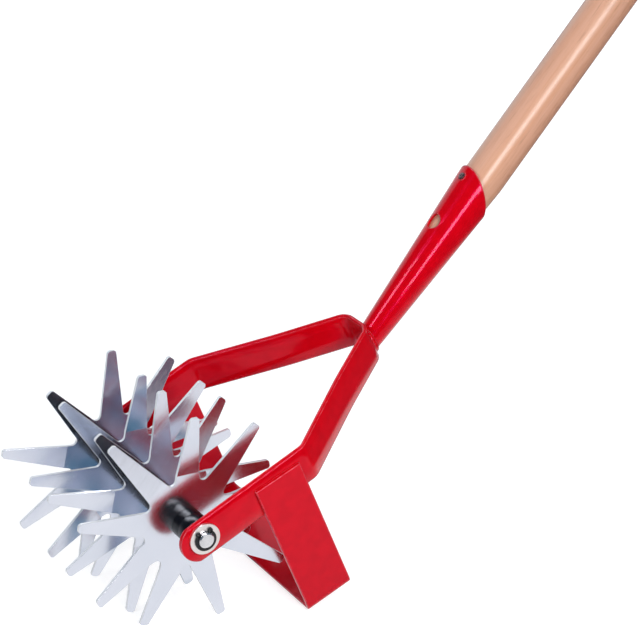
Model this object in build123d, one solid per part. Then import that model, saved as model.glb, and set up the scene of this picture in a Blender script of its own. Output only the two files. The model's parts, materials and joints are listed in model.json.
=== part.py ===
from build123d import *
import math
import os

# Long-handled star cultivator with a stirrup hoe, in millimetres and degrees.
# X runs along the axle, Y backwards to the handle, Z up from the ground.

# Star wheels: punched sheet, every third tooth set to one side, the next to the other.
STAR_COUNT = 4
STAR_PITCH = 35.0
STAR_SHEET = 2.0
TEETH = 9
TIP_RADIUS = 73.3
ROOT_RADIUS = 28.9
NOTCH_RADIUS = 3.1
TOOTH_TAPER = 6.6
TIP_CROP = 1.1
TOOTH_SET = 8.3
SET_PATTERN = (1, -1, 0)
SET_LINE = 2.0

# Axle and what is threaded on it.
AXLE_DIAMETER = 10.0
AXLE_CHAMFER = 0.7
AXLE_OVERHANG = 1.6
HUB_PLAY = 0.06
SPACER_DIAMETER = 20.0
SPACER_PLAY = 0.1
SIDE_PLAY = 0.2
END_SPACER_LENGTH = 18.3
WASHER_DIAMETER = 20.0
WASHER_THICKNESS = 2.0
WASHER_PLAY = 0.25
CIRCLIP_THICKNESS = 1.0
CIRCLIP_DEPTH = 0.2
CIRCLIP_BAND = 2.2
CIRCLIP_LUG = 3.3
CIRCLIP_LUG_ANGLE = 39.0
CIRCLIP_TURN = 12.5
GROOVE_PLAY = 0.05

# Yoke: one flat bar bent to a short web, two slanting arms and two parallel ends.
BAR_WIDTH = 26.6
BAR_THICKNESS = 3.0
BAR_EDGE = 1.2
BAR_DROP = 1.0
BAR_END = 2.6
YOKE_ANGLE = 26.4
STAR_TO_BEND = 7.1
BEND_TO_WEB = 91.4
WEB_LENGTH = 25.0
LOWER_BEND_RADIUS = 8.0
UPPER_BEND_RADIUS = 10.0
ARM_BOW = 1.4
ARM_BOW_SHARE = 0.55
ARM_BOW_RADIUS = 300.0

# Stirrup hoe: a band welded to the outer faces of the arms.
BAND_WIDTH = 33.0
BAND_THICKNESS = 2.5
BAND_EDGE = 0.5
BAND_ANGLE = 24.1
BAND_FRONT = 40.5
BAND_TOP = 7.4
STAR_TO_BAND = 17.6
BAND_BEND_RADIUS = 2.5
WELD_LEG = 2.6
WELD_SHARE = 0.8

# Socket: a rolled cone of sheet with an open seam at the back and a slanting mouth.
HANDLE_ANGLE = 49.7
SOCKET_SHEET = 2.0
SOCKET_TAPER = 3.42
SOCKET_LENGTH = 117.2
MOUTH_SLANT = 11.8
SOCKET_DROP = 5.8
SEAM_GAP = 2.0
SPARE_HOLE_DIAMETER = 10.5
SPARE_HOLE_TO_LIP = 41.4
SOCKET_WELD_LEG = 2.2
SOCKET_WELD_SLOPE = 20.0

# Handle: turned wood with a tapered end inside the socket.
HANDLE_LENGTH = 1200.0
HANDLE_RADIUS = 14.0
HANDLE_START = 25.0
HANDLE_PLAY = 0.1
HANDLE_DOME = 6.0

# Screw through the socket's lip into the wood.
SCREW_TO_LIP = 7.3
SCREW_RADIUS = 1.75
SCREW_LENGTH = 14.0
SCREW_HEAD_RADIUS = 3.6
SCREW_HEAD_HEIGHT = 1.8
SCREW_HOLE_PLAY = 0.4

# Places that follow from the sizes above.
TOOTH_ANGLE = 360 / TEETH
STACK_HALF = STAR_PITCH * (STAR_COUNT - 1) / 2
ARM_INNER = STACK_HALF + STAR_SHEET / 2 + SIDE_PLAY + END_SPACER_LENGTH
ARM_MID = ARM_INNER + BAR_THICKNESS / 2
ARM_OUTER = ARM_INNER + BAR_THICKNESS
WASHER_OUTER = ARM_OUTER + WASHER_THICKNESS
CIRCLIP_OUTER = WASHER_OUTER + GROOVE_PLAY + CIRCLIP_THICKNESS
AXLE_HALF = CIRCLIP_OUTER + GROOVE_PLAY + AXLE_OVERHANG
AXLE_RADIUS = AXLE_DIAMETER / 2
GROOVE_RADIUS = AXLE_RADIUS - CIRCLIP_DEPTH
LOWER_BEND = TIP_RADIUS + STAR_TO_BEND
WEB_PLACE = LOWER_BEND + BEND_TO_WEB
BAND_BOTTOM = TIP_RADIUS + STAR_TO_BAND + BAND_THICKNESS / 2
BAND_MID = BAND_FRONT + BAND_WIDTH / 2
SET_START = ROOT_RADIUS + NOTCH_RADIUS - SET_LINE / 2
SOCKET_SLOPE = math.tan(math.radians(SOCKET_TAPER))
LIP_PLACE = SOCKET_LENGTH + MOUTH_SLANT
SPARE_HOLE_PLACE = LIP_PLACE - SPARE_HOLE_TO_LIP
SCREW_PLACE = LIP_PLACE - SCREW_TO_LIP
LIP_RADIUS = HANDLE_RADIUS + HANDLE_PLAY + SOCKET_SHEET
SOCKET_BASE_RADIUS = LIP_RADIUS - LIP_PLACE * SOCKET_SLOPE
BEYOND = 2 * (WEB_PLACE + SOCKET_LENGTH)


def pitched_plane(pitch: float, origin=(0, 0, 0)) -> Plane:
    """Plane whose own x is the axle and whose own y climbs backwards at the pitch."""
    angle = math.radians(pitch)
    return Plane(origin, x_dir=(1, 0, 0), z_dir=(0, -math.sin(angle), math.cos(angle)))


YOKE_PLANE = pitched_plane(YOKE_ANGLE)
STAR_PLANE = Plane((0, 0, 0), x_dir=(0, 0, 1), z_dir=(1, 0, 0))
BAR_PLANE = YOKE_PLANE.offset(-BAR_DROP)
WEB_CORNER = BAR_PLANE.from_local_coords((0, WEB_PLACE + BAR_THICKNESS / 2, -SOCKET_DROP))
WEB_FACE = Plane(WEB_CORNER, x_dir=(1, 0, 0), z_dir=YOKE_PLANE.y_dir)
HANDLE_AXIS = pitched_plane(HANDLE_ANGLE).y_dir
HANDLE_FRONT = pitched_plane(HANDLE_ANGLE).z_dir
SOCKET_PLANE = Plane(WEB_CORNER, x_dir=HANDLE_FRONT, z_dir=HANDLE_AXIS)


def axle_rod(radius: float, low: float, high: float) -> Part:
    """Plain rod on the axle's line between two places along X."""
    return extrude(Plane.YZ.offset(low) * Circle(radius), amount=high - low)


def axle_ring(outer: float, inner: float, low: float, high: float) -> Part:
    """Plain ring about the axle between two places along X."""
    return axle_rod(outer, low, high) - axle_rod(inner, low, high)


def notch_face() -> Sketch:
    """Gap between two teeth: a round root that opens along the two tapered flanks."""
    spread = math.radians(TOOTH_ANGLE / 2 + TOOTH_TAPER)
    centre = ROOT_RADIUS + NOTCH_RADIUS
    root_x = centre - NOTCH_RADIUS * math.sin(spread)
    root_y = NOTCH_RADIUS * math.cos(spread)
    far_x = root_x + TIP_RADIUS * math.cos(spread)
    far_y = root_y + TIP_RADIUS * math.sin(spread)
    left = [(root_x, -root_y), (far_x, -far_y)]
    right = [(x, -y) for x, y in reversed(left)]
    return Pos(centre, 0) * Circle(NOTCH_RADIUS) + Polygon(*left, *right, align=None)


def star_outline() -> Sketch:
    """Flat blank of a star wheel, tooth 0 along its own x."""
    outline = Circle(TIP_RADIUS)
    notch = notch_face()
    for k in range(TEETH):
        outline -= Rot(Z=(k + 0.5) * TOOTH_ANGLE) * notch
    tips = [v for v in outline.vertices() if Vector(v.X, v.Y).length > TIP_RADIUS - TIP_CROP]
    outline = chamfer(tips, TIP_CROP)
    return outline - Circle(AXLE_RADIUS + HUB_PLAY)


def tooth_sector() -> Sketch:
    """Sector of tooth 0 outside the line where its set begins."""
    half = math.tan(math.radians(TOOTH_ANGLE / 2))
    far = TIP_RADIUS + TIP_CROP
    left = [(x, -x * half) for x in (SET_START, far)]
    right = [(x, -y) for x, y in reversed(left)]
    return Polygon(*left, *right, align=None)


def set_tooth(outline: Sketch, side: int) -> Part:
    """Tooth 0 bent out of the blank's plane, by TOOTH_SET at its tip."""
    bend = SET_START + SET_LINE
    rise = side * TOOTH_SET / (TIP_RADIUS - bend)
    far = TIP_RADIUS + TIP_CROP
    points = [(SET_START, 0, 0), (bend, 0, 0), (far, 0, rise * (far - bend))]
    path = Polyline(*points)
    section = Plane(path @ 0, x_dir=(0, 1, 0), z_dir=path % 0) * Rectangle(TIP_RADIUS, STAR_SHEET)
    sheet = sweep(section, path=path, transition=Transition.RIGHT)
    blank = extrude(outline & tooth_sector(), amount=TIP_RADIUS / 2, both=True)
    return blank & sheet


def star_wheel() -> Part:
    """One star wheel about the axle at the middle of the tool."""
    outline = star_outline()
    star = extrude(outline, amount=STAR_SHEET / 2, both=True)
    sector = extrude(tooth_sector(), amount=STAR_SHEET, both=True)
    teeth = {side: set_tooth(outline, side) for side in SET_PATTERN if side}
    for k in range(TEETH):
        side = SET_PATTERN[k % len(SET_PATTERN)]
        if side:
            turn = Rot(Z=k * TOOTH_ANGLE)
            star = star - turn * sector + turn * teeth[side]
    return STAR_PLANE * star


def axle() -> Part:
    """Steel pin with a circlip groove near each end."""
    pin = axle_rod(AXLE_RADIUS, -AXLE_HALF, AXLE_HALF)
    pin = chamfer(pin.edges().filter_by(GeomType.CIRCLE), AXLE_CHAMFER)
    far_wall = CIRCLIP_OUTER + GROOVE_PLAY
    groove = axle_ring(AXLE_DIAMETER, GROOVE_RADIUS, WASHER_OUTER, far_wall)
    return pin - groove - mirror(groove, Plane.YZ)


def circlip() -> Part:
    """External circlip in the groove of the +X end, its open side up and forwards."""
    ring = Circle(GROOVE_RADIUS + CIRCLIP_BAND)
    reach = GROOVE_RADIUS + CIRCLIP_LUG
    mouth = math.radians(CIRCLIP_LUG_ANGLE)
    corner = (2 * reach * math.cos(mouth), 2 * reach * math.sin(mouth))
    ring -= Rot(Z=CIRCLIP_TURN) * Polygon((0, 0), (corner[0], -corner[1]), corner, align=None)
    lug = Pos(reach - CIRCLIP_LUG / 2, 0) * Rectangle(CIRCLIP_LUG, CIRCLIP_LUG)
    for side in (-1, 1):
        ring += Rot(Z=CIRCLIP_TURN + side * CIRCLIP_LUG_ANGLE) * lug
    ring -= Circle(GROOVE_RADIUS)
    inner = WASHER_OUTER + GROOVE_PLAY
    return extrude(STAR_PLANE.offset(inner) * ring, amount=CIRCLIP_THICKNESS)


def flat_section(width: float, thickness: float, edge: float) -> Sketch:
    """Section of a flat bar with its four edges broken."""
    bar = Rectangle(width, thickness)
    return chamfer(bar.vertices(), edge)


def bar_path() -> Wire:
    """Middle line of the yoke's bar in its own plane."""
    straight = ARM_MID + (WEB_LENGTH / 2 - ARM_MID) * ARM_BOW_SHARE
    bow = (straight - ARM_BOW, LOWER_BEND + BEND_TO_WEB * ARM_BOW_SHARE)
    right = [(ARM_MID, -BAR_END - BAR_WIDTH / 2), (ARM_MID, LOWER_BEND), bow, (WEB_LENGTH / 2, WEB_PLACE)]
    left = [(-x, y) for x, y in reversed(right)]
    radii = [LOWER_BEND_RADIUS, ARM_BOW_RADIUS, UPPER_BEND_RADIUS]
    return BAR_PLANE * FilletPolyline(*right, *left, radius=radii + radii[::-1])


def yoke() -> Part:
    """Bent flat bar with round ends, drilled for the axle."""
    path = bar_path()
    section = Plane(path @ 0, x_dir=YOKE_PLANE.z_dir, z_dir=path % 0)
    bar = sweep(section * flat_section(BAR_WIDTH, BAR_THICKNESS, BAR_EDGE), path=path)
    end = BAR_PLANE.from_local_coords((0, -BAR_END, 0))
    side = Plane(end, x_dir=BAR_PLANE.y_dir, z_dir=(1, 0, 0))
    length = WEB_PLACE + BAR_WIDTH
    profile = Circle(BAR_WIDTH / 2) + Pos(length / 2, 0) * Rectangle(length, BAR_WIDTH)
    bar &= extrude(side * profile, amount=ARM_OUTER, both=True)
    return bar - axle_rod(AXLE_RADIUS + HUB_PLAY, -AXLE_HALF, AXLE_HALF)


def hoe_stirrup() -> Part:
    """Band bent to a U, its legs against the outer faces of the arms."""
    leg = ARM_OUTER + BAND_THICKNESS / 2
    climb = pitched_plane(BAND_ANGLE).y_dir
    plane = Plane(climb * BAND_MID, x_dir=(1, 0, 0), z_dir=-climb)
    points = [(leg, BAND_TOP), (leg, -BAND_BOTTOM), (-leg, -BAND_BOTTOM), (-leg, BAND_TOP)]
    path = plane * FilletPolyline(*points, radius=BAND_BEND_RADIUS)
    section = Plane(path @ 0, x_dir=climb, z_dir=path % 0)
    return sweep(section * flat_section(BAND_WIDTH, BAND_THICKNESS, BAND_EDGE), path=path)


def stirrup_weld() -> Part:
    """Bead in the corner under the +X arm, against the inside of the stirrup's leg."""
    edge = -BAR_DROP - BAR_WIDTH / 2
    toes = [(ARM_OUTER - WELD_LEG, edge), (ARM_OUTER, edge - WELD_LEG)]
    corner = Polygon((ARM_OUTER, edge), *toes, align=None)
    length = WELD_SHARE * BAND_WIDTH
    start = BAND_MID - length / 2
    plane = Plane(YOKE_PLANE.y_dir * start, x_dir=(1, 0, 0), z_dir=-YOKE_PLANE.y_dir)
    return extrude(plane * corner, amount=-length)


def socket_radius(place: float) -> float:
    """Outer radius of the socket at a place along its axis, from the web."""
    return SOCKET_BASE_RADIUS + place * SOCKET_SLOPE


def turned(outline: Wire) -> Part:
    """Solid of revolution about the handle's axis from an outline of (radius, place)."""
    profile = Plane(SOCKET_PLANE.origin, x_dir=SOCKET_PLANE.x_dir, z_dir=-SOCKET_PLANE.y_dir)
    return revolve(profile * make_face(outline), axis=Axis(SOCKET_PLANE.origin, SOCKET_PLANE.z_dir))


def socket_cone(inset: float) -> Part:
    """Solid cone of the socket's outer surface, or one that lies inside it by an inset."""
    low = -SOCKET_BASE_RADIUS
    high = LIP_PLACE + MOUTH_SLANT
    flank = [(socket_radius(place) - inset, place) for place in (low, high)]
    return turned(Polyline((0, low), *flank, (0, high), close=True))


def front_pin(place: float, radius: float) -> Part:
    """Pin that stands square on the socket's front side, from its axis outwards."""
    origin = SOCKET_PLANE.from_local_coords((0, 0, place))
    plane = Plane(origin, x_dir=HANDLE_AXIS, z_dir=HANDLE_FRONT)
    return extrude(plane * Circle(radius), amount=2 * HANDLE_RADIUS)


def handle_socket() -> Part:
    """Rolled cone, cut to the web, with a slanting mouth, a seam and two holes."""
    shell = socket_cone(0.0) - socket_cone(SOCKET_SHEET)
    shell &= extrude(WEB_FACE * Rectangle(BEYOND, BEYOND), amount=BEYOND)
    slant = math.degrees(math.atan2(MOUTH_SLANT, socket_radius(SOCKET_LENGTH)))
    mouth = SOCKET_PLANE * Pos(0, 0, SOCKET_LENGTH) * Rot(Y=-slant)
    shell -= mouth * extrude(Rectangle(BEYOND, BEYOND), amount=BEYOND)
    seam = Pos(-HANDLE_RADIUS, 0, SOCKET_LENGTH / 2) * Box(2 * HANDLE_RADIUS, SEAM_GAP, 2 * SOCKET_LENGTH)
    shell -= SOCKET_PLANE * seam
    shell -= front_pin(SPARE_HOLE_PLACE, SPARE_HOLE_DIAMETER / 2)
    return shell - front_pin(SCREW_PLACE, SCREW_RADIUS + SCREW_HOLE_PLAY)


def socket_weld() -> Part:
    """Fillet of weld round the socket's foot on the back of the web."""
    lean = math.radians(HANDLE_ANGLE - YOKE_ANGLE)
    foot = Pos(0, -SOCKET_WELD_LEG * math.tan(lean) / 2) * Circle(SOCKET_BASE_RADIUS + SOCKET_WELD_LEG)
    bead = extrude(WEB_FACE * foot, amount=SOCKET_WELD_LEG, taper=SOCKET_WELD_SLOPE)
    bead += extrude(WEB_FACE * foot, amount=-SOCKET_WELD_LEG)
    web = Pos(0, -SOCKET_DROP) * Rectangle(WEB_LENGTH, BAR_WIDTH - 2 * BAR_EDGE)
    bead &= extrude(WEB_FACE * web, amount=BAR_WIDTH, both=True)
    return bead - yoke() - socket_cone(0.0)


def handle() -> Part:
    """Turned wood: a cone in the socket, a plain shaft and a domed end."""
    top = HANDLE_START + HANDLE_LENGTH
    tip = socket_radius(HANDLE_START) - SOCKET_SHEET - HANDLE_PLAY
    rim = (HANDLE_RADIUS, top - HANDLE_DOME)
    crown = (HANDLE_RADIUS**2 + HANDLE_DOME**2) / (2 * HANDLE_DOME)
    half = math.asin(HANDLE_RADIUS / crown) / 2
    middle = (crown * math.sin(half), top - crown + crown * math.cos(half))
    shaft = Polyline((0, top), (0, HANDLE_START), (tip, HANDLE_START), (HANDLE_RADIUS, LIP_PLACE), rim)
    wood = turned(Wire([*shaft.edges(), ThreePointArc(rim, middle, (0, top))]))
    return wood - front_pin(SCREW_PLACE, SCREW_RADIUS)


def socket_screw() -> Part:
    """Screw whose head stands on the socket's lip."""
    seat = socket_radius(SCREW_PLACE + SCREW_HEAD_RADIUS)
    origin = SOCKET_PLANE.from_local_coords((seat, 0, SCREW_PLACE))
    base = Plane(origin, x_dir=HANDLE_AXIS, z_dir=HANDLE_FRONT)
    head = extrude(base * Circle(SCREW_HEAD_RADIUS), amount=SCREW_HEAD_HEIGHT)
    return head + extrude(base * Circle(SCREW_RADIUS), amount=-SCREW_LENGTH)


def spacer(index: int) -> Part:
    """Plastic sleeve between two star wheels."""
    middle = (index + 1) * STAR_PITCH - STACK_HALF - STAR_PITCH / 2
    half = (STAR_PITCH - STAR_SHEET) / 2 - SIDE_PLAY
    return axle_ring(SPACER_DIAMETER / 2, AXLE_RADIUS + SPACER_PLAY, middle - half, middle + half)


def build() -> dict[str, Part]:
    """Every piece by name, about the axle."""
    pieces = {"yoke": yoke(), "hoe_stirrup": hoe_stirrup(), "handle_socket": handle_socket()}
    pieces |= {"socket_weld": socket_weld(), "handle": handle(), "socket_screw": socket_screw()}
    pieces["axle"] = axle()
    star = star_wheel()
    for i in range(STAR_COUNT):
        turn = Rot(X=TOOTH_ANGLE * ((i + 1) % 2))
        pieces[f"star_wheel_{i + 1}"] = Pos(i * STAR_PITCH - STACK_HALF, 0, 0) * turn * star
    for i in range(STAR_COUNT - 1):
        pieces[f"spacer_{i + 1}"] = spacer(i)
    end_start = ARM_INNER - END_SPACER_LENGTH
    sides = {
        "end_spacer": axle_ring(SPACER_DIAMETER / 2, AXLE_RADIUS + SPACER_PLAY, end_start, ARM_INNER),
        "washer": axle_ring(WASHER_DIAMETER / 2, AXLE_RADIUS + WASHER_PLAY, ARM_OUTER, WASHER_OUTER),
        "circlip": circlip(),
        "stirrup_weld": stirrup_weld(),
    }
    for name, shape in sides.items():
        pieces[f"{name}_right"] = shape
        pieces[f"{name}_left"] = mirror(shape, Plane.YZ)
    return pieces


def on_ground(pieces: dict[str, Part]) -> dict[str, Part]:
    """The pieces moved so that the origin is under the middle of the tool, on the ground."""
    box = Compound(children=[Compound(p.wrapped) for p in pieces.values()]).bounding_box()
    place = Pos(-box.center().X, -box.center().Y, -box.min.Z)
    return {name: place * shape for name, shape in pieces.items()}


os.makedirs("parts", exist_ok=True)
for node, solid in on_ground(build()).items():
    export_step(solid, f"parts/{node}.step")
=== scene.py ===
"""Looks of a long-handled star cultivator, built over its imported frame.

Metres, Z up, X along the axle. Angles are in degrees until they are used.
"""
import json
import logging
import math
from dataclasses import dataclass
from enum import Enum
from typing import Callable

import bpy
from mathutils import Matrix, Vector


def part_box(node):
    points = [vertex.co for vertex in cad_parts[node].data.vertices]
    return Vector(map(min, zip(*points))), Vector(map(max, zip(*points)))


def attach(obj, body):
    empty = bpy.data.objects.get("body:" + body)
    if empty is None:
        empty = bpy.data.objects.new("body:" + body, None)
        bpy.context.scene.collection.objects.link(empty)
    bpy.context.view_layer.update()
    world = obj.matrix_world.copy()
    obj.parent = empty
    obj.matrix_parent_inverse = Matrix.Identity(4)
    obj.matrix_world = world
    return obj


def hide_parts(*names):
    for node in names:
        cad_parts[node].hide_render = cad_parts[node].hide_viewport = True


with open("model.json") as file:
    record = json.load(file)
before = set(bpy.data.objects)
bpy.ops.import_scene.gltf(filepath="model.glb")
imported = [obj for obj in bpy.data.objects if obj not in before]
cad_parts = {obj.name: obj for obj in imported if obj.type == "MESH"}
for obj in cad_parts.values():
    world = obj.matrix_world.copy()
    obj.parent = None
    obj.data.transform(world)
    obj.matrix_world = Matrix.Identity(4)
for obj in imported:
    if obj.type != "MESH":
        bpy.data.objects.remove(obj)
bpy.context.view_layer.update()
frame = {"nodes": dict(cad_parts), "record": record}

LOG = logging.getLogger("cultivator")
MM = 0.001
YOKE_PITCH = 26.4
HANDLE_PITCH = 49.7
ROUND_SAMPLES = 6

Colour = tuple[float, float, float, float]
Span = tuple[float, float]
Point = tuple[float, float, float]
Material = bpy.types.Material
Node = bpy.types.Node
Piece = bpy.types.Object
Socket = bpy.types.NodeSocket
Tree = bpy.types.NodeTree

FULL: Span = (0.0, 1.0)
FALLING: Span = (1.0, 0.0)
UPRIGHT: Point = (0.0, 0.0, 0.0)


class Effect(Enum):
    """Surface effects that more than one finish uses, each a node group."""

    PEEL = "orange_peel"
    EDGE = "edge_break"
    GRAIN = "drawn_grain"
    HANDLING = "handling_marks"


class Bits(Enum):
    """What is picked from a mesh, as Blender names it."""

    POINTS = "VERT"
    FACES = "FACE"


class Side(Enum):
    """The two ends of the axle, with the sign of X."""

    LEFT = -1
    RIGHT = 1

    def of(self, name: str) -> str:
        """The name of a piece at this end."""
        return f"{name}_{self.name.lower()}"


def colour(red: float, green: float, blue: float) -> Colour:
    """Linear colour with full alpha."""
    return (red, green, blue, 1.0)


def corners(node: str) -> tuple[Vector, Vector]:
    """Lowest and highest corner of a CAD node at rest."""
    low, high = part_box(node)
    return Vector(low), Vector(high)


def middle_of(node: str) -> Vector:
    """Middle of a CAD node's box at rest."""
    low, high = corners(node)
    return (low + high) / 2


class Graph:
    """A node tree with short calls for placing and joining nodes."""

    MIX_AMOUNT, MIX_FIRST, MIX_SECOND, MIX_RESULT = 0, 6, 7, 2

    def __init__(self, tree: Tree) -> None:
        """Keeps the material's, world's or group's node tree."""
        self.tree = tree

    def give(self, node: Node, inputs: dict[str | int, object]) -> None:
        """Sets a node's inputs.

        Args:
            node: the node.
            inputs: by socket name or number, a socket to link or a value to keep.
        """
        for key, source in inputs.items():
            if isinstance(source, Socket):
                self.tree.links.new(source, node.inputs[key])
            else:
                node.inputs[key].default_value = source

    def add(
        self, kind: str, inputs: dict[str | int, object] | None = None, **settings: object
    ) -> Node:
        """Places one node.

        Args:
            kind: the node's type without its ShaderNode prefix.
            inputs: what its inputs get, as in give.
            settings: the node's own properties.

        Returns:
            The new node.
        """
        node = self.tree.nodes.new("ShaderNode" + kind)
        for key, value in settings.items():
            setattr(node, key, value)
        self.give(node, inputs or {})
        return node

    def mix(self, amount: Socket, first: Colour | Socket, second: Colour) -> Socket:
        """Lays one colour over another by a mask.

        Args:
            amount: the mask.
            first: colour where the mask is 0.
            second: colour where the mask is 1.

        Returns:
            The blended colour's socket.
        """
        inputs = {self.MIX_AMOUNT: amount, self.MIX_FIRST: first, self.MIX_SECOND: second}
        return self.add("Mix", inputs, data_type="RGBA").outputs[self.MIX_RESULT]

    def spread(self, source: Socket, span: Span, result: Span = FULL) -> Socket:
        """Maps a span of values to another.

        Args:
            source: the value's socket.
            span: the values that become the two ends of the result.
            result: those two ends.

        Returns:
            The mapped value's socket.
        """
        ends = dict(zip(("From Min", "From Max", "To Min", "To Max"), span + result))
        return self.add("MapRange", {"Value": source, **ends}).outputs["Result"]

    def math(self, operation: str, first: Socket, second: Socket | float = 0.0) -> Socket:
        """Joins two values by one operation of the Math node."""
        return self.add("Math", {0: first, 1: second}, operation=operation).outputs[0]

    def vector(self, operation: str, inputs: dict[str | int, object]) -> Socket:
        """The vector that one operation of the Vector Math node gives."""
        return self.add("VectorMath", inputs, operation=operation).outputs["Vector"]

    def effect(self, effect: Effect, place: Socket, values: dict[str, float]) -> Socket:
        """Places a shared effect.

        Args:
            effect: which one.
            place: coordinates that it reads.
            values: its other inputs by name.

        Returns:
            The socket of its value.
        """
        node = self.tree.nodes.new("ShaderNodeGroup")
        node.node_tree = EffectLibrary.group(effect)
        self.give(node, {"Vector": place, **values})
        return node.outputs["Value"]


class EffectLibrary:
    """Builds each shared effect's node group once."""

    # Detail and roughness of each noise.
    SPRAYED: Span = (1.5, 0.4)
    CHIPPED: Span = (4.0, 0.5)
    DRAWN: Span = (3.0, 0.65)
    RUBBED: Span = (3.0, 0.5)
    # Values that become 0 and 1 in each mask.
    OFF_FLAT: Span = (0.99, 0.86)
    CHIPS: Span = (0.3, 0.6)
    DULLED: Span = (0.3, 0.75)

    @staticmethod
    def group(effect: Effect) -> Tree:
        """The group of an effect, built at its first use.

        Args:
            effect: which one.

        Returns:
            Its node group.
        """
        tree = bpy.data.node_groups.get(effect.value)
        if tree:
            return tree
        tree = bpy.data.node_groups.new(effect.value, "ShaderNodeTree")
        names, build = RECIPES[effect]
        tree.interface.new_socket("Vector", in_out="INPUT", socket_type="NodeSocketVector")
        for name in names:
            tree.interface.new_socket(name, in_out="INPUT", socket_type="NodeSocketFloat")
        tree.interface.new_socket("Value", in_out="OUTPUT", socket_type="NodeSocketFloat")
        graph = Graph(tree)
        value = build(graph, tree.nodes.new("NodeGroupInput"))
        graph.give(tree.nodes.new("NodeGroupOutput"), {"Value": value})
        return tree

    @staticmethod
    def noise(graph: Graph, place: Socket, scale: Socket, texture: Span) -> Socket:
        """Noise with a texture of the given detail and roughness."""
        inputs = {"Vector": place, "Scale": scale, "Detail": texture[0], "Roughness": texture[1]}
        return graph.add("TexNoise", inputs).outputs["Fac"]

    @staticmethod
    def peel(graph: Graph, given: Node) -> Socket:
        """Long, low waves that a sprayed coat dries with."""
        place, scale = given.outputs["Vector"], given.outputs["Scale"]
        return EffectLibrary.noise(graph, place, scale, EffectLibrary.SPRAYED)

    @staticmethod
    def edge(graph: Graph, given: Node) -> Socket:
        """Mask of the sharp edges, broken up along their length.

        Args:
            graph: the group's graph.
            given: the group's input node.

        Returns:
            Socket of the mask.
        """
        radius, place = given.outputs["Radius"], given.outputs["Vector"]
        rounded = graph.add("Bevel", {"Radius": radius}, samples=ROUND_SAMPLES).outputs["Normal"]
        flat = graph.add("NewGeometry").outputs["Normal"]
        facing = graph.add("VectorMath", {0: rounded, 1: flat}, operation="DOT_PRODUCT")
        edge = graph.spread(facing.outputs["Value"], EffectLibrary.OFF_FLAT)
        breakup_noise = EffectLibrary.noise(
            graph, place, given.outputs["Breakup"], EffectLibrary.CHIPPED
        )
        broken = graph.spread(breakup_noise, EffectLibrary.CHIPS)
        kept = graph.math("MAXIMUM", broken, given.outputs["Least"])
        return graph.math("MULTIPLY", edge, kept)

    @staticmethod
    def grain(graph: Graph, given: Node) -> Socket:
        """Fine lines drawn out along the third axis of the coordinates.

        Args:
            graph: the group's graph.
            given: the group's input node.

        Returns:
            Socket of the lines' value.
        """
        stretch = graph.add("CombineXYZ", {"X": 1.0, "Y": 1.0, "Z": given.outputs["Stretch"]})
        both = {0: given.outputs["Vector"], 1: stretch.outputs["Vector"]}
        drawn = graph.vector("MULTIPLY", both)
        return EffectLibrary.noise(graph, drawn, given.outputs["Scale"], EffectLibrary.DRAWN)

    @staticmethod
    def handling(graph: Graph, given: Node) -> Socket:
        """Soft patches where hands and packing have dulled the surface.

        Args:
            graph: the group's graph.
            given: the group's input node.

        Returns:
            Socket of the patches' mask.
        """
        place, scale = given.outputs["Vector"], given.outputs["Scale"]
        patch = EffectLibrary.noise(graph, place, scale, EffectLibrary.RUBBED)
        return graph.spread(patch, EffectLibrary.DULLED)


RECIPES: dict[Effect, tuple[tuple[str, ...], Callable[[Graph, Node], Socket]]] = {
    Effect.PEEL: (("Scale",), EffectLibrary.peel),
    Effect.EDGE: (("Radius", "Breakup", "Least"), EffectLibrary.edge),
    Effect.GRAIN: (("Scale", "Stretch"), EffectLibrary.grain),
    Effect.HANDLING: (("Scale",), EffectLibrary.handling),
}


@dataclass(frozen=True)
class EdgeWearAndHighlight:
    """How an edge shows, as wear on steel and zinc and as a painted highlight on the red enamel:
    its width, how fine its breaks are and what is left in them.
    """

    radius: float
    breakup: float
    least: float = 0.35

    def mask(self, graph: Graph, place: Socket) -> Socket:
        """Mask of the edges that show wear, and on the red enamel a painted highlight."""
        values = {"Radius": self.radius, "Breakup": self.breakup, "Least": self.least}
        return graph.effect(Effect.EDGE, place, values)


@dataclass(frozen=True)
class Lines:
    """Drawn-out lines: how fine they are and their scale along their length."""

    scale: float
    stretch: float

    def value(self, graph: Graph, place: Socket) -> Socket:
        """Value of the lines."""
        values = {"Scale": self.scale, "Stretch": self.stretch}
        return graph.effect(Effect.GRAIN, place, values)


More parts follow.
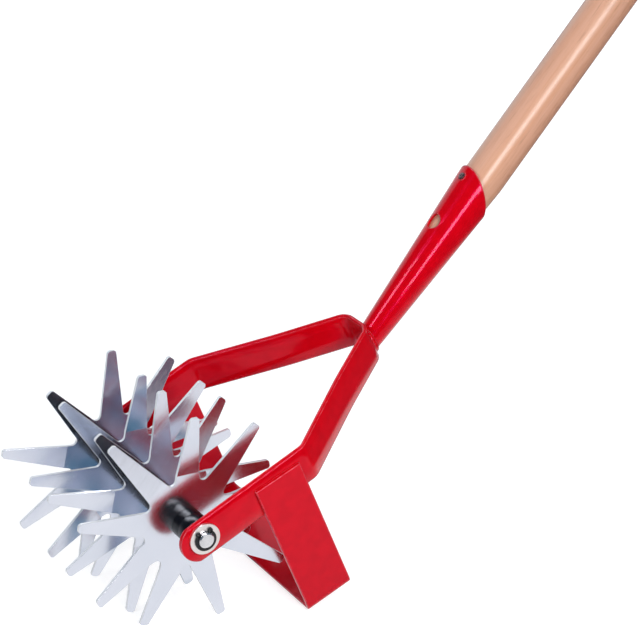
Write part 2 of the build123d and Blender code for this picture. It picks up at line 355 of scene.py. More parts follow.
@dataclass(frozen=True)
class Finish:
    """A surface with a node material of its own."""

    name: str

    def material(self) -> Material:
        """The finish as a material, built at its first use.

        Returns:
            The material.
        """
        found = bpy.data.materials.get(self.name)
        if found:
            return found
        made = bpy.data.materials.new(self.name)
        made.use_nodes = True
        self.dress(Graph(made.node_tree), made.node_tree.nodes["Principled BSDF"])
        return made

    def dress(self, graph: Graph, surface: Node) -> None:
        """Joins the finish's nodes to the shader; each finish has its own."""
        raise NotImplementedError

    def place(self, graph: Graph, turn: Point = UPRIGHT) -> Socket:
        """Object coordinates, turned.

        Args:
            graph: the material's graph.
            turn: rotation about X, Y and Z.

        Returns:
            The coordinates' socket.
        """
        own = graph.add("TexCoord").outputs["Object"]
        rotation = [math.radians(angle) for angle in turn]
        return graph.add("Mapping", {"Vector": own, "Rotation": rotation}).outputs["Vector"]

    def patches(self, graph: Graph, place: Socket, scale: float) -> Socket:
        """Mask of the patches that handling has dulled."""
        return graph.effect(Effect.HANDLING, place, {"Scale": scale})

    def skin(self, graph: Graph, place: Socket, scale: float) -> Socket:
        """Height of a sprayed or moulded skin."""
        return graph.effect(Effect.PEEL, place, {"Scale": scale})

    def lean(self, graph: Graph) -> Socket | None:
        """How far the surface leans off its flat, or None for a true flat."""
        return None

    def relief(
        self, graph: Graph, surface: Node, height: Socket, depth: float, round_over: float
    ) -> None:
        """Gives the surface fine relief and soft edges.

        Args:
            graph: the material's graph.
            surface: the Principled shader.
            height: relief from 0 to 1.
            depth: height of the relief.
            round_over: radius that the edges are rounded by.
        """
        soft = graph.add("Bevel", {"Radius": round_over}, samples=ROUND_SAMPLES)
        normal = soft.outputs["Normal"]
        lean = self.lean(graph)
        if lean:
            normal = graph.vector("NORMALIZE", {0: graph.vector("ADD", {0: normal, 1: lean})})
        inputs = {"Strength": 1.0, "Distance": depth, "Height": height, "Normal": normal}
        bumped = graph.add("Bump", inputs).outputs["Normal"]
        graph.give(surface, {"Normal": bumped, "Coat Normal": bumped})


@dataclass(frozen=True)
class RedEnamel(Finish):
    """Glossy red enamel over sheet and bar."""

    body: Colour = colour(0.70, 0.0008, 0.006)
    thick: Colour = colour(0.64, 0.0006, 0.005)
    # The edge colour is a painted highlight: pink lines along every edge of the enamel.
    edge: Colour = colour(0.88, 0.16, 0.2)
    wear: EdgeWearAndHighlight = EdgeWearAndHighlight(1.3 * MM, 220.0)
    gloss: Span = (0.14, 0.2)
    patch_scale: float = 24.0
    shine: float = 0.5
    shine_tint: Colour = colour(1.0, 0.02, 0.26)
    coat: float = 0.2
    coat_blur: float = 0.06
    wave_scale: float = 130.0
    wave_span: Span = (0.35, 0.65)
    wave_depth: float = 0.035 * MM
    round_over: float = 1.2 * MM

    def dress(self, graph: Graph, surface: Node) -> None:
        """Joins colour, a painted pink highlight along the edges, gloss and the sprayed coat's
        waves.

        Args:
            graph: the material's graph.
            surface: the Principled shader.
        """
        place = self.place(graph)
        waves = self.skin(graph, place, self.wave_scale)
        patches = self.patches(graph, place, self.patch_scale)
        base = graph.mix(graph.spread(waves, self.wave_span), self.body, self.thick)
        graph.give(surface, {
            # Painted highlight: the edge mask lays the pink edge colour along every edge.
            "Base Color": graph.mix(self.wear.mask(graph, place), base, self.edge),
            "Roughness": graph.spread(patches, FULL, self.gloss),
            "Specular IOR Level": self.shine,
            "Specular Tint": self.shine_tint,
            "Coat Weight": self.coat,
            "Coat Roughness": self.coat_blur,
        })
        self.relief(graph, surface, waves, self.wave_depth, self.round_over)


@dataclass(frozen=True)
class RolledEnamel(RedEnamel):
    """The enamel on the yoke's bar, whose long edges roll away from the flat."""

    drop: float = 1.0 * MM
    half_width: float = 13.3 * MM
    flat: float = 0.3
    roll: float = 0.42

    def lean(self, graph: Graph) -> Socket:
        """Slope across the bar, growing from its flat middle to its long edges.

        Args:
            graph: the material's graph.

        Returns:
            Socket of the slope as a vector.
        """
        angle = math.radians(YOKE_PITCH)
        across = Vector((0.0, -math.sin(angle), math.cos(angle)))
        middle = middle_of("axle").dot(across) - self.drop
        place = self.place(graph, (-YOKE_PITCH, 0.0, 0.0))
        height = graph.add("SeparateXYZ", {"Vector": place}).outputs["Z"]
        off = graph.math("SUBTRACT", height, middle)
        rolling = (self.flat * self.half_width, self.half_width)
        slope = graph.spread(graph.math("ABSOLUTE", off), rolling, (0.0, self.roll))
        signed = graph.math("MULTIPLY", slope, graph.math("SIGN", off))
        return graph.vector("SCALE", {0: across, "Scale": signed})


@dataclass(frozen=True)
class BrightZinc(Finish):
    """Bright zinc on rolled sheet, with its cut edges."""

    body: Colour = colour(0.76, 0.785, 0.875)
    shade: Colour = colour(0.70, 0.735, 0.83)
    edge: Colour = colour(0.88, 0.89, 0.93)
    wear: EdgeWearAndHighlight = EdgeWearAndHighlight(0.4 * MM, 260.0, 0.8)
    rolled: Lines = Lines(1100.0, 0.06)
    rolled_turn: Point = (38.0, 0.0, 0.0)
    rolled_span: Span = (0.3, 0.7)
    rolled_depth: float = 0.004 * MM
    gloss: Span = (0.14, 0.22)
    bareness: Span = (0.98, 0.3)
    patch_scale: float = 30.0
    cut_span: Span = (0.6, 0.4)
    round_over: float = 0.3 * MM

    def dress(self, graph: Graph, surface: Node) -> None:
        """Joins the rolled grain, spangle and bright edges.

        Args:
            graph: the material's graph.
            surface: the Principled shader.
        """
        place = self.place(graph, self.rolled_turn)
        lines = self.rolled.value(graph, place)
        patches = self.patches(graph, place, self.patch_scale)
        base = graph.mix(patches, self.body, self.shade)
        cut = graph.math("MAXIMUM", self.wear.mask(graph, place), self.sheared(graph))
        graph.give(surface, {
            "Base Color": graph.mix(cut, base, self.edge),
            "Roughness": graph.spread(lines, self.rolled_span, self.gloss),
            "Metallic": graph.spread(cut, FULL, self.bareness),
        })
        self.relief(graph, surface, lines, self.rolled_depth, self.round_over)

    def sheared(self, graph: Graph) -> Socket:
        """Mask of the sheet's cut faces, which run along the axle.

        Args:
            graph: the material's graph.

        Returns:
            Socket of the mask.
        """
        normal = graph.add("NewGeometry").outputs["Normal"]
        along = graph.add("SeparateXYZ", {"Vector": normal}).outputs["X"]
        return graph.spread(graph.math("ABSOLUTE", along), self.cut_span)


@dataclass(frozen=True)
class PlainMetal(Finish):
    """Bare or plated metal with a satin surface: washers and turned steel, and the screw,
    darkened with painted shade.
    """

    body: Colour
    shade: Colour
    gloss: Span
    rings: float = 0.0
    ring_waver: float = 1.5
    brushed: Lines = Lines(700.0, 0.5)
    patch_scale: float = 120.0
    mark_depth: float = 0.006 * MM
    round_over: float = 0.3 * MM

    def dress(self, graph: Graph, surface: Node) -> None:
        """Joins dulled patches and tool marks.

        Args:
            graph: the material's graph.
            surface: the Principled shader.
        """
        place = self.place(graph)
        patches = self.patches(graph, place, self.patch_scale)
        graph.give(surface, {
            "Base Color": graph.mix(patches, self.body, self.shade),
            "Roughness": graph.spread(patches, FULL, self.gloss),
            "Metallic": 1.0,
        })
        marks = self.turned(graph, place) if self.rings else self.brushed.value(graph, place)
        self.relief(graph, surface, marks, self.mark_depth, self.round_over)

    def turned(self, graph: Graph, place: Socket) -> Socket:
        """Tool marks in rings about the axle.

        Args:
            graph: the material's graph.
            place: object coordinates.

        Returns:
            Socket of the marks' height.
        """
        inputs = {"Vector": place, "Scale": self.rings, "Distortion": self.ring_waver}
        marks = graph.add("TexWave", inputs, wave_type="RINGS", rings_direction="X")
        return marks.outputs["Fac"]


@dataclass(frozen=True)
class BlackSteel(Finish):
    """Phosphated spring steel."""

    body: Colour = colour(0.018, 0.018, 0.02)
    rubbed: Colour = colour(0.16, 0.16, 0.165)
    wear: EdgeWearAndHighlight = EdgeWearAndHighlight(0.25 * MM, 900.0)
    gloss: Span = (0.32, 0.5)
    bareness: float = 0.5
    skin_scale: float = 1600.0
    skin_span: Span = (0.3, 0.7)
    skin_depth: float = 0.01 * MM
    round_over: float = 0.15 * MM

    def dress(self, graph: Graph, surface: Node) -> None:
        """Joins the dark skin and its rubbed edges.

        Args:
            graph: the material's graph.
            surface: the Principled shader.
        """
        place = self.place(graph)
        skin = self.skin(graph, place, self.skin_scale)
        graph.give(surface, {
            "Base Color": graph.mix(self.wear.mask(graph, place), self.body, self.rubbed),
            "Roughness": graph.spread(skin, self.skin_span, self.gloss),
            "Metallic": self.bareness,
        })
        self.relief(graph, surface, skin, self.skin_depth, self.round_over)


@dataclass(frozen=True)
class BlackPlastic(Finish):
    """Moulded black plastic with a low sheen."""

    body: Colour = colour(0.002, 0.002, 0.004)
    dusty: Colour = colour(0.004, 0.004, 0.007)
    gloss: Span = (0.2, 0.28)
    shine: float = 0.18
    patch_scale: float = 90.0
    skin_scale: float = 900.0
    skin_depth: float = 0.02 * MM
    round_over: float = 0.3 * MM

    def dress(self, graph: Graph, surface: Node) -> None:
        """Joins the moulded skin and its dulled patches.

        Args:
            graph: the material's graph.
            surface: the Principled shader.
        """
        place = self.place(graph)
        patches = self.patches(graph, place, self.patch_scale)
        graph.give(surface, {
            "Base Color": graph.mix(patches, self.body, self.dusty),
            "Roughness": graph.spread(patches, FULL, self.gloss),
            "Specular IOR Level": self.shine,
        })
        skin = self.skin(graph, place, self.skin_scale)
        self.relief(graph, surface, skin, self.skin_depth, self.round_over)


@dataclass(frozen=True)
class VarnishedWood(Finish):
    """Pale turned wood under clear varnish, its fibres along the handle."""

    pale: Colour = colour(0.79, 0.42, 0.28)
    streak: Colour = colour(0.71, 0.33, 0.18)
    pore: Colour = colour(0.4, 0.17, 0.08)
    gloss: Span = (0.42, 0.55)
    gloss_span: Span = (0.3, 0.7)
    shine: float = 0.45
    coat: float = 1.0
    coat_blur: float = 0.31
    tilt: float = 90.0 - HANDLE_PITCH
    fibres: Lines = Lines(420.0, 0.018)
    fibre_span: Span = (0.35, 0.65)
    fibre_share: float = 0.6
    pores: Lines = Lines(1500.0, 0.03)
    pore_span: Span = (0.58, 0.72)
    pore_share: float = 0.6
    pore_depth: float = 0.002 * MM
    pith: Span = (0.055, -0.02)
    ring_scale: float = 30.0
    ring_waver: float = 2.2
    ring_detail: Span = (2.0, 1.4)
    ring_drift: float = 0.035
    ring_span: Span = (0.25, 0.95)
    ring_share: float = 0.5
    round_over: float = 0.5 * MM

    def dress(self, graph: Graph, surface: Node) -> None:
        """Joins growth rings, fibres and pores under the varnish.

        Args:
            graph: the material's graph.
            surface: the Principled shader.
        """
        place = self.place(graph, (self.tilt, 0.0, 0.0))
        rings = graph.math("MULTIPLY", self.rings(graph, place), self.ring_share)
        fibres = self.fibres.value(graph, place)
        pores = self.pores.value(graph, place)
        drawn = graph.spread(fibres, self.fibre_span, (0.0, self.fibre_share))
        dark = graph.spread(pores, self.pore_span, (0.0, self.pore_share))
        base = graph.mix(graph.math("ADD", rings, drawn), self.pale, self.streak)
        graph.give(surface, {
            "Base Color": graph.mix(dark, base, self.pore),
            "Roughness": graph.spread(fibres, self.gloss_span, self.gloss),
            "Specular IOR Level": self.shine,
            "Coat Weight": self.coat,
            "Coat Roughness": self.coat_blur,
        })
        self.relief(graph, surface, pores, self.pore_depth, self.round_over)

    def rings(self, graph: Graph, place: Socket) -> Socket:
        """Growth rings about a pith outside the shaft, wavering along it.

        Args:
            graph: the material's graph.
            place: coordinates with the third axis along the shaft.

        Returns:
            Socket of the rings' mask.
        """
        own = graph.add("SeparateXYZ", {"Vector": place}).outputs
        across = graph.add("CombineXYZ", {
            "X": graph.math("ADD", own["X"], self.pith[0]),
            "Y": graph.math("ADD", own["Y"], self.pith[1]),
            "Z": graph.math("MULTIPLY", own["Z"], self.ring_drift),
        })
        wave = graph.add("TexWave", {
            "Vector": across.outputs["Vector"],
            "Scale": self.ring_scale,
            "Distortion": self.ring_waver,
            "Detail": self.ring_detail[0],
            "Detail Scale": self.ring_detail[1],
        }, wave_type="RINGS", rings_direction="Z")
        return graph.spread(wave.outputs["Fac"], self.ring_span)


class Finishes(Enum):
    """The record's material slots and the finish of each, then two finishes of single pieces."""

    red_paint = RedEnamel("red_enamel")
    zinc_sheet = BrightZinc("bright_zinc_sheet")
    zinc_washer = PlainMetal(
        "pale_zinc", colour(0.9, 0.83, 0.81), colour(0.76, 0.71, 0.7), (0.3, 0.44)
    )
    bright_steel = PlainMetal(
        "turned_steel", colour(0.77, 0.77, 0.8), colour(0.62, 0.62, 0.65), (0.2, 0.32), 420.0
    )
    black_steel = BlackSteel("phosphated_steel")
    black_plastic = BlackPlastic("moulded_black")
    varnished_wood = VarnishedWood("wood_under_varnish")
    # Painted shade and a painted reflection of the red socket: the screw's steel is darkened and
    # tinted pink.
    dark_screw = PlainMetal(
        "screw_painted_shade_and_reflection", colour(0.32, 0.22, 0.225), colour(0.1, 0.06, 0.062), (0.2, 0.34)
    )
    rolled_bar = RolledEnamel("red_enamel_on_rolled_bar")

    def cover(self, piece: Piece) -> None:
        """Puts this finish alone on a piece."""
        piece.data.materials.clear()
        piece.data.materials.append(self.value.material())


class Shop:
    """The bench where new pieces are made with Blender's own operators."""

    FLAT = 0.9
    SHARP = math.radians(40)
    SMOOTH = math.radians(35)
    SLIVER = 0.002 * MM
    TO_AXLE = Matrix.Rotation(math.pi / 2, 4, "Y")

    @staticmethod
    def clear() -> None:
        """Leaves edit mode and deselects everything."""
        if bpy.context.object and bpy.context.object.mode != "OBJECT":
            bpy.ops.object.mode_set(mode="OBJECT")
        bpy.ops.object.select_all(action="DESELECT")

    @staticmethod
    def hold(piece: Piece, *others: Piece) -> None:
        """Selects a piece, and others with it, and makes it the active one.

        Args:
            piece: the active piece.
            others: pieces that are selected too.
        """
        Shop.clear()
        for held in (piece, *others):
            held.select_set(True)
        bpy.context.view_layer.objects.active = piece

    @staticmethod
    def pick(piece: Piece, kind: Bits, test: Callable[[Vector, Vector], bool]) -> None:
        """Selects vertices or faces in edit mode by place and normal.

        Args:
            piece: the object in edit mode.
            kind: vertices or faces.
            test: true for the place and normal of what is wanted.
        """
        bpy.ops.mesh.select_mode(type=kind.value)
        bpy.ops.mesh.select_all(action="DESELECT")
        bpy.ops.object.mode_set(mode="OBJECT")
        points = kind is Bits.POINTS
        for item in piece.data.vertices if points else piece.data.polygons:
            item.select = test(item.co if points else item.center, item.normal)
        bpy.ops.object.mode_set(mode="EDIT")

    @staticmethod
    def cylinder(sides: int, radius: float, depth: float, lift: float) -> Piece:
        """A cylinder about its own Z, left in edit mode.

        Args:
            sides: number of sides.
            radius: its radius.
            depth: its height.
            lift: height of its middle.

        Returns:
            Its object.
        """
        Shop.clear()
        bpy.ops.mesh.primitive_cylinder_add(
            vertices=sides, radius=radius, depth=depth, location=(0.0, 0.0, lift)
        )
        bpy.ops.object.transform_apply(location=True, rotation=True, scale=True)
        bpy.ops.object.mode_set(mode="EDIT")
        return bpy.context.object

    @staticmethod
    def tube(sides: int, outer: float, inner: float, depth: float, lift: float = 0.0) -> Piece:
        """A cylinder that is drilled through, left in edit mode.

        Args:
            sides: number of sides.
            outer: its radius.
            inner: radius of the hole.
            depth: its height.
            lift: height of its middle.

        Returns:
            Its object.
        """
        piece = Shop.cylinder(sides, outer, depth, lift)
        Shop.pick(piece, Bits.FACES, lambda _, normal: abs(normal.z) > Shop.FLAT)
        bpy.ops.mesh.inset(thickness=outer - inner, use_individual=True)
        bpy.ops.mesh.bridge_edge_loops()
        return piece

    @staticmethod
    def pair(piece: Piece) -> tuple[Piece, Piece]:
        """Copies a piece, with a mesh of its own.

        Args:
            piece: the object.

        Returns:
            The piece and its copy.
        """
        Shop.clear()
        twin = piece.copy()
        twin.data = piece.data.copy()
        bpy.context.scene.collection.objects.link(twin)
        return piece, twin

    @staticmethod
    def settle(piece: Piece, place: Matrix) -> None:
        """Puts a piece's place into its mesh and leaves its object at the origin.

        Args:
            piece: the object.
            place: where its own axes go in the frame.
        """
        Shop.hold(piece)
        piece.matrix_world = place
        bpy.ops.object.transform_apply(location=True, rotation=True, scale=True)

    @staticmethod
    def bevel(piece: Piece, width: float, segments: int = 2) -> None:
        """Breaks the sharp edges of a piece, merges the slivers left and shades it smooth.

        Args:
            piece: the object.
            width: width of the broken edge.
            segments: steps across it.
        """
        Shop.hold(piece)
        edge = piece.modifiers.new("edge", "BEVEL")
        edge.width = width
        edge.segments = segments
        edge.limit_method = "ANGLE"
        edge.angle_limit = Shop.SHARP
        bpy.ops.object.modifier_apply(modifier=edge.name)
        bpy.ops.object.mode_set(mode="EDIT")
        bpy.ops.mesh.select_all(action="SELECT")
        bpy.ops.mesh.remove_doubles(threshold=Shop.SLIVER)
        bpy.ops.object.mode_set(mode="OBJECT")
        bpy.ops.object.shade_smooth_by_angle(angle=Shop.SMOOTH)

    @staticmethod
    def hand_over(piece: Piece, name: str, slot: str, finish: Finishes, *nodes: str) -> None:
        """Names, dresses and mounts a finished piece on the tool's frame.

        Args:
            piece: the object.
            name: its name.
            slot: the record's material slot; not used.
            finish: the finish that it wears.
            nodes: CAD nodes that it stands for.
        """
        piece.name = name
        piece.data.name = name
        finish.cover(piece)
        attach(piece, "frame")
        if nodes:
            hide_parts(*nodes)
        LOG.info("piece %s stands for %s", name, ", ".join(nodes) or "itself")


@dataclass
class Circlip:
    """A circlip about its own X axis: a band that thins towards two drilled lugs."""

    groove: float = 4.8 * MM
    band: float = 2.2 * MM
    band_steps: int = 56
    thickness: float = 1.0 * MM
    thinning: float = 0.45 * MM
    lug_radius: float = 1.62 * MM
    lug_hole: float = 0.72 * MM
    lug_angle: float = 39.0
    lug_sides: int = 28
    turn: float = 12.5
    edge: float = 0.12 * MM

    def build(self) -> None:
        """Makes one circlip and puts it, and its copy, on the ends of the axle."""
        whole = self.ring()
        lugs = self.lugs()
        Shop.hold(whole, *lugs)
        bpy.ops.object.join()
        Shop.bevel(whole, self.edge)
        turn = Matrix.Rotation(math.radians(self.turn), 4, "X")
        for side, piece in zip(Side, Shop.pair(whole)):
            at = middle_of("axle")
            at.x = middle_of(side.of("circlip")).x
            Shop.settle(piece, Matrix.Translation(at) @ turn)
            Shop.hand_over(
                piece, side.of("circlip_ring"), "black_steel", Finishes.black_steel,
                side.of("circlip"),
            )

    def ring(self) -> Piece:
        """The open band, its opening along its own Z.

        Returns:
            The band's object.
        """
        Shop.clear()
        middle = self.groove + self.band / 2
        start = math.radians(self.lug_angle)
        bpy.ops.mesh.primitive_plane_add(size=1.0)
        piece = bpy.context.object
        piece.scale = (self.thickness, self.band, 1.0)
        piece.rotation_euler = (math.pi / 2 - start, 0.0, 0.0)
        piece.location = (0.0, middle * math.sin(start), middle * math.cos(start))
        bpy.ops.object.transform_apply(location=True, rotation=True, scale=True)
        bpy.ops.object.mode_set(mode="EDIT")
        bpy.ops.mesh.select_all(action="SELECT")
        bpy.ops.mesh.spin(
            steps=self.band_steps, angle=2 * math.pi - 2 * start,
            center=(0.0, 0.0, 0.0), axis=(1.0, 0.0, 0.0),
        )
        Shop.pick(piece, Bits.POINTS, lambda at, _: math.hypot(at.y, at.z) > middle)
        bpy.ops.transform.translate(value=(0.0, 0.0, -self.thinning))
        bpy.ops.mesh.select_all(action="SELECT")
        bpy.ops.mesh.normals_make_consistent(inside=False)
        bpy.ops.object.mode_set(mode="OBJECT")
        return piece

    def lugs(self) -> tuple[Piece, Piece]:
        """The drilled lugs at the two ends of the band.

        Returns:
            The lugs' objects.
        """
        lug = Shop.tube(self.lug_sides, self.lug_radius, self.lug_hole, self.thickness)
        both = Shop.pair(lug)
        reach = self.groove + self.lug_radius
        for side, piece in zip(Side, both):
            angle = math.radians(self.lug_angle) * side.value
            at = (0.0, reach * math.sin(angle), reach * math.cos(angle))
            Shop.settle(piece, Matrix.Translation(at) @ Shop.TO_AXLE)
        return both


@dataclass
class SleeveCollar:
    """The collar on the outer end of a plain sleeve, a hair wider than the sleeve."""

    length: float = 10.8 * MM
    rise: float = 0.15 * MM
    wall: float = 0.8 * MM
    setback: float = 0.05 * MM
    edge: float = 0.1 * MM
    sides: int = 64

    def build(self) -> None:
        """Makes one collar and puts it, and its copy, on the end sleeves."""
        low, high = corners(Side.LEFT.of("end_spacer"))
        radius = (high.z - low.z) / 2 + self.rise
        whole = Shop.tube(self.sides, radius, radius - self.wall, self.length)
        Shop.bevel(whole, self.edge)
        for side, piece in zip(Side, Shop.pair(whole)):
            sleeve = side.of("end_spacer")
            at = middle_of(sleeve)
            at.x = max((corner.x for corner in corners(sleeve)), key=abs)
            at.x -= side.value * (self.length / 2 + self.setback)
            Shop.settle(piece, Matrix.Translation(at) @ Shop.TO_AXLE)
            Shop.hand_over(
                piece, side.of("sleeve_collar"), "black_plastic", Finishes.black_plastic
            )


@dataclass
class SocketScrew:
    """The screw at the socket's lip: a low domed head in a raised seat, and its shank.

    Each step of the dome is an inset as a share of the head's radius, then a rise as a share
    of its height.
    """

    plain_radius: float = 3.6 * MM
    plain_height: float = 1.8 * MM
    sink: float = 0.5 * MM
    head_radius: float = 2.4 * MM
    head_height: float = 1.2 * MM
    head_sides: int = 32
    head_edge: float = 0.15 * MM
    dome: tuple[Span, ...] = ((0.077, 0.084), (0.165, 0.06), (0.165, 0.04), (0.165, 0.016))
    dome_drop: float = 0.2
    shank_radius: float = 1.74 * MM
    shank_length: float = 13.4 * MM
    recess: float = 0.45 * MM
    recess_rim: float = 0.1125 * MM
    recess_taper: float = 0.45
    seat_radius: float = 3.4 * MM
    seat_height: float = 0.9 * MM
    seat_middle: float = 0.2 * MM
    seat_gap: float = 0.3 * MM
    seat_sides: int = 40
    seat_taper: float = 0.94
    seat_edge: float = 0.2 * MM
    seat_steps: int = 3

    def build(self) -> None:
        """Makes the screw and its seat where the frame has its plain one."""
        self.head()
        self.seat()

    def seat(self) -> None:
        """Makes the raised ring of painted sheet round the head."""
        inner = self.head_radius + self.seat_gap
        middle = (inner + self.seat_radius) / 2
        piece = Shop.tube(
            self.seat_sides, self.seat_radius, inner, self.seat_height, self.seat_middle
        )
        Shop.pick(
            piece, Bits.POINTS,
            lambda at, _: at.z > self.seat_middle and at.to_2d().length > middle,
        )
        bpy.ops.transform.resize(value=(self.seat_taper, self.seat_taper, 1.0))
        Shop.settle(piece, self.place())
        Shop.bevel(piece, self.seat_edge, self.seat_steps)
        Shop.hand_over(piece, "screw_seat", "red_paint", Finishes.red_paint)

    def head(self) -> None:
        """Makes the screw itself."""
        half = self.head_height / 2
        piece = Shop.cylinder(self.head_sides, self.head_radius, self.head_height, half)
        Shop.pick(piece, Bits.FACES, lambda _, normal: normal.z > Shop.FLAT)
        for inset, rise in self.dome:
            bpy.ops.mesh.inset(thickness=self.head_radius * inset)
            bpy.ops.transform.translate(value=(0.0, 0.0, self.head_height * rise))
        bpy.ops.mesh.inset(thickness=self.recess_rim)
        self.draw_out(-self.recess)
        bpy.ops.transform.resize(value=(self.recess_taper, self.recess_taper, 1.0))
        Shop.pick(piece, Bits.POINTS, lambda at, _: at.z > half)
        bpy.ops.transform.translate(value=(0.0, 0.0, -self.dome_drop * self.head_height))
        Shop.pick(
            piece, Bits.FACES,
            lambda at, normal: normal.z < -Shop.FLAT and at.z < Shop.SLIVER,
        )
        bpy.ops.mesh.inset(thickness=self.head_radius - self.shank_radius)
        self.draw_out(-self.shank_length)
        Shop.settle(piece, self.place())
        Shop.bevel(piece, self.head_edge)
        # The screw's darkened, pinkish colour is painted shade and a painted reflection of the
        # red socket.
        Shop.hand_over(piece, "lip_screw", "bright_steel", Finishes.dark_screw, "socket_screw")

    @staticmethod
    def draw_out(length: float) -> None:
        """Extrudes the picked faces along Z."""
        bpy.ops.mesh.extrude_region_move(TRANSFORM_OT_translate={"value": (0.0, 0.0, length)})

    def place(self) -> Matrix:
        """Where the head's underside meets the socket, its own Z square to the handle.

        Returns:
            The screw's place in the frame.
        """
        low, high = corners("socket_screw")
        angle = math.radians(HANDLE_PITCH)
        out = Vector((0.0, -math.sin(angle), math.cos(angle)))
        rise, run = math.sin(angle) * self.plain_radius, math.cos(angle) * self.plain_radius
        top = Vector((0.0, low.y + run, high.z - rise))
        under = top - out * (self.plain_height + self.sink)
        return Matrix.Translation(under) @ Matrix.Rotation(angle, 4, "X")


class Dresser:
    """Gives every CAD node the finish of its slot, or one of its own."""

    OWN: dict[str, Finishes] = {"yoke": Finishes.rolled_bar}

    def dress(self) -> None:
        """Puts the record's finishes on the frame's nodes."""
        for row in frame["record"]["subparts"]:
            finish = self.OWN.get(row["node"], Finishes[row["material_slot"]])
            finish.cover(frame["nodes"][row["node"]])
            LOG.info("node %s wears %s", row["node"], row["material_slot"])


@dataclass(frozen=True)
class Lamp:
    """A soft lamp with a rectangular face, its long side along the handle."""

    name: str
    at: Point
    width: float
    length: float
    power: float

    def build(self, target: Vector, shaft: Vector) -> None:
        """Hangs the lamp so that it faces the tool.

        Args:
            target: the point that it faces.
            shaft: direction of the handle.
        """
        data = bpy.data.lights.new(self.name, "AREA")
        data.shape = "RECTANGLE"
        data.size, data.size_y = self.width, self.length
        data.energy = self.power
        lamp = bpy.data.objects.new(self.name, data)
        bpy.context.scene.collection.objects.link(lamp)
        back = (Vector(self.at) - target).normalized()
        along = (shaft - back * back.dot(shaft)).normalized()
        turn = Matrix((along.cross(back), along, back)).transposed()
        lamp.matrix_world = Matrix.Translation(self.at) @ turn.to_4x4()


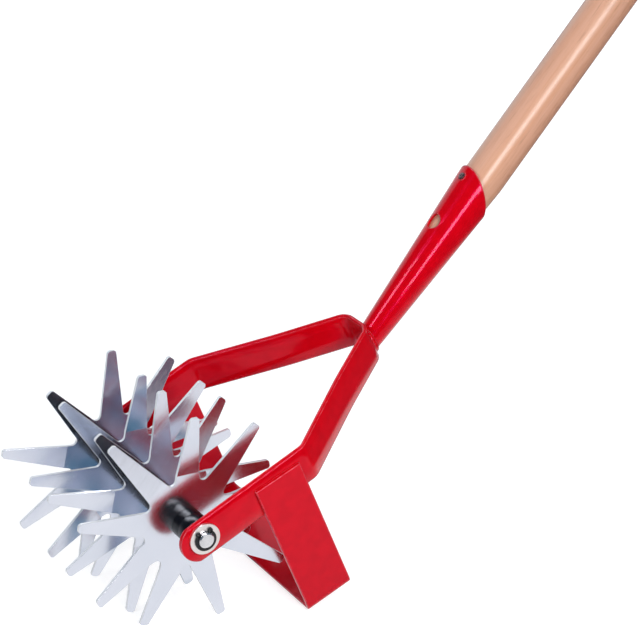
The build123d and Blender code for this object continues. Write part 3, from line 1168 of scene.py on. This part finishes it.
@dataclass
class Studio:
    """White sweep, soft lamps and the photograph's camera.

    The floor has one look for lamps, one for the camera and one for what mirrors it.
    """

    eye: Point = (1.1206, -1.0064, 0.6989)
    turn: Point = (67.924, -2.016, 59.363)
    lens: float = 125.2
    clip: Span = (0.05, 200.0)
    target: Vector = Vector((0.0, -0.33, 0.12))
    white: Colour = colour(1.0, 1.0, 1.0)
    floor_size: float = 60.0
    floor_grey: float = 0.74
    floor_blur: float = 0.8
    camera_lift: Span = (0.75, 1.0)
    camera_share: float = 0.7
    camera_fade: Span = (0.4, 0.9)
    mirror_white: Colour = colour(0.97, 0.97, 0.97)
    mirror_shade: Colour = colour(0.1, 0.26, 0.36)
    mirror_dark: Colour = colour(0.1, 0.06, 0.1)
    shade_side: Span = (0.014, 0.0)
    shade_front: Span = (-0.455, -0.42)
    shade_back: Span = (-0.27, -0.33)
    sweep_slant: float = 0.3
    sweep_back: Span = (-0.02, 0.07)
    sweep_front: Span = (-0.9, -1.0)
    room: Colour = colour(0.04, 0.08, 0.125)
    lamps: tuple[Lamp, ...] = (
        Lamp("left_box", (0.096, -1.624, 1.034), 0.4, 0.36, 6.0),
        Lamp("right_box", (0.728, -0.416, 0.547), 0.19, 0.5, 4.9),
        Lamp("back_fill", (-0.4, 2.2, 1.4), 1.2, 1.2, 15.0),
        Lamp("overhead", (-0.5, -0.3, 2.3), 1.6, 1.0, 9.0),
        Lamp("left_card", (-1.7, -0.4, 0.85), 1.7, 1.5, 7.0),
    )

    def build(self) -> None:
        """Sets up floor, world, lamps, camera and view transform."""
        self.floor()
        self.world()
        angle = math.radians(HANDLE_PITCH)
        shaft = Vector((0.0, math.cos(angle), math.sin(angle)))
        for lamp in self.lamps:
            lamp.build(self.target, shaft)
        self.camera()
        bpy.context.scene.view_settings.view_transform = "Standard"

    def floor(self) -> None:
        """Lays the floor."""
        Shop.clear()
        bpy.ops.mesh.primitive_plane_add(size=self.floor_size)
        plane = bpy.context.object
        plane.name = "floor"
        plane.data.materials.append(self.sweep())

    def sweep(self) -> Material:
        """White paper that keeps the shadow and shows white to eye and metal.

        Returns:
            The floor's material.
        """
        paper = bpy.data.materials.new("white_sweep")
        paper.use_nodes = True
        nodes = paper.node_tree.nodes
        graph = Graph(paper.node_tree)
        ray = graph.add("LightPath").outputs
        eye = ray["Is Camera Ray"]
        mirror = graph.math("MAXIMUM", ray["Is Glossy Ray"], ray["Is Transmission Ray"])
        place = graph.add("NewGeometry").outputs["Position"]
        to_eye = graph.spread(eye, FULL, (1.0, self.camera_share))
        lit = graph.math("MULTIPLY", to_eye, graph.spread(mirror, FULL, FALLING))
        surface = nodes["Principled BSDF"]
        graph.give(surface, {
            "Base Color": graph.math("MULTIPLY", lit, self.floor_grey),
            "Roughness": self.floor_blur,
            "Specular IOR Level": 0.0,
        })
        lift = graph.spread(self.far_off(graph, place), FULL, self.camera_lift)
        seen = {"Color": self.white, "Strength": graph.math("MULTIPLY", eye, lift)}
        mirrored = {"Color": self.mirrored(graph, place), "Strength": mirror}
        whole = surface.outputs["BSDF"]
        for light in (seen, mirrored):
            glow = graph.add("Emission", light).outputs["Emission"]
            whole = graph.add("AddShader", {0: whole, 1: glow}).outputs["Shader"]
        graph.give(nodes["Material Output"], {"Surface": whole})
        return paper

    def far_off(self, graph: Graph, place: Socket) -> Socket:
        """Mask of the floor that the lamps hardly reach.

        Args:
            graph: the floor's graph.
            place: the point on the floor.

        Returns:
            Socket of the mask, 1 far from the tool.
        """
        inputs = {0: place, 1: (self.target.x, self.target.y, 0.0)}
        reach = graph.add("VectorMath", inputs, operation="DISTANCE").outputs["Value"]
        return graph.spread(reach, self.camera_fade)

    def mirrored(self, graph: Graph, place: Socket) -> Socket:
        """The floor as metal and paint mirror it.

        It is white, with a painted teal shade under the tool, and dark past the sweep's ends.

        Args:
            graph: the floor's graph.
            place: the point on the floor.

        Returns:
            Socket of the mirrored colour.
        """
        split = graph.add("SeparateXYZ", {"Vector": place}).outputs
        across, along = split["X"], split["Y"]
        front = graph.spread(along, self.shade_front)
        back = graph.spread(along, self.shade_back)
        beside = graph.spread(across, self.shade_side)
        under = graph.math("MULTIPLY", beside, graph.math("MULTIPLY", front, back))
        slanted = graph.math("ADD", along, graph.math("MULTIPLY", across, self.sweep_slant))
        behind = graph.spread(slanted, self.sweep_back)
        ahead = graph.spread(along, self.sweep_front)
        # Painted shade under the tool, seen only in what mirrors the floor.
        shaded = graph.mix(under, self.mirror_white, self.mirror_shade)
        return graph.mix(graph.math("MAXIMUM", behind, ahead), shaded, self.mirror_dark)

    def world(self) -> None:
        """A dim room round the sweep, white to the camera."""
        world = bpy.data.worlds.new("studio")
        bpy.context.scene.world = world
        world.use_nodes = True
        graph = Graph(world.node_tree)
        eye = graph.add("LightPath").outputs["Is Camera Ray"]
        shade = graph.mix(eye, self.room, self.white)
        graph.give(world.node_tree.nodes["Background"], {"Color": shade})

    def camera(self) -> None:
        """The photograph's camera."""
        data = bpy.data.cameras.new("photo_camera")
        data.lens = self.lens
        data.clip_start, data.clip_end = self.clip
        camera = bpy.data.objects.new("photo_camera", data)
        bpy.context.scene.collection.objects.link(camera)
        camera.location = self.eye
        camera.rotation_euler = [math.radians(angle) for angle in self.turn]
        bpy.context.scene.camera = camera


def main() -> None:
    """Dresses the frame, adds the small pieces and sets up the studio."""
    logging.basicConfig(level=logging.INFO, format="%(message)s")
    Dresser().dress()
    Circlip().build()
    SleeveCollar().build()
    SocketScrew().build()
    Studio().build()


if __name__ == "__main__":
    main()
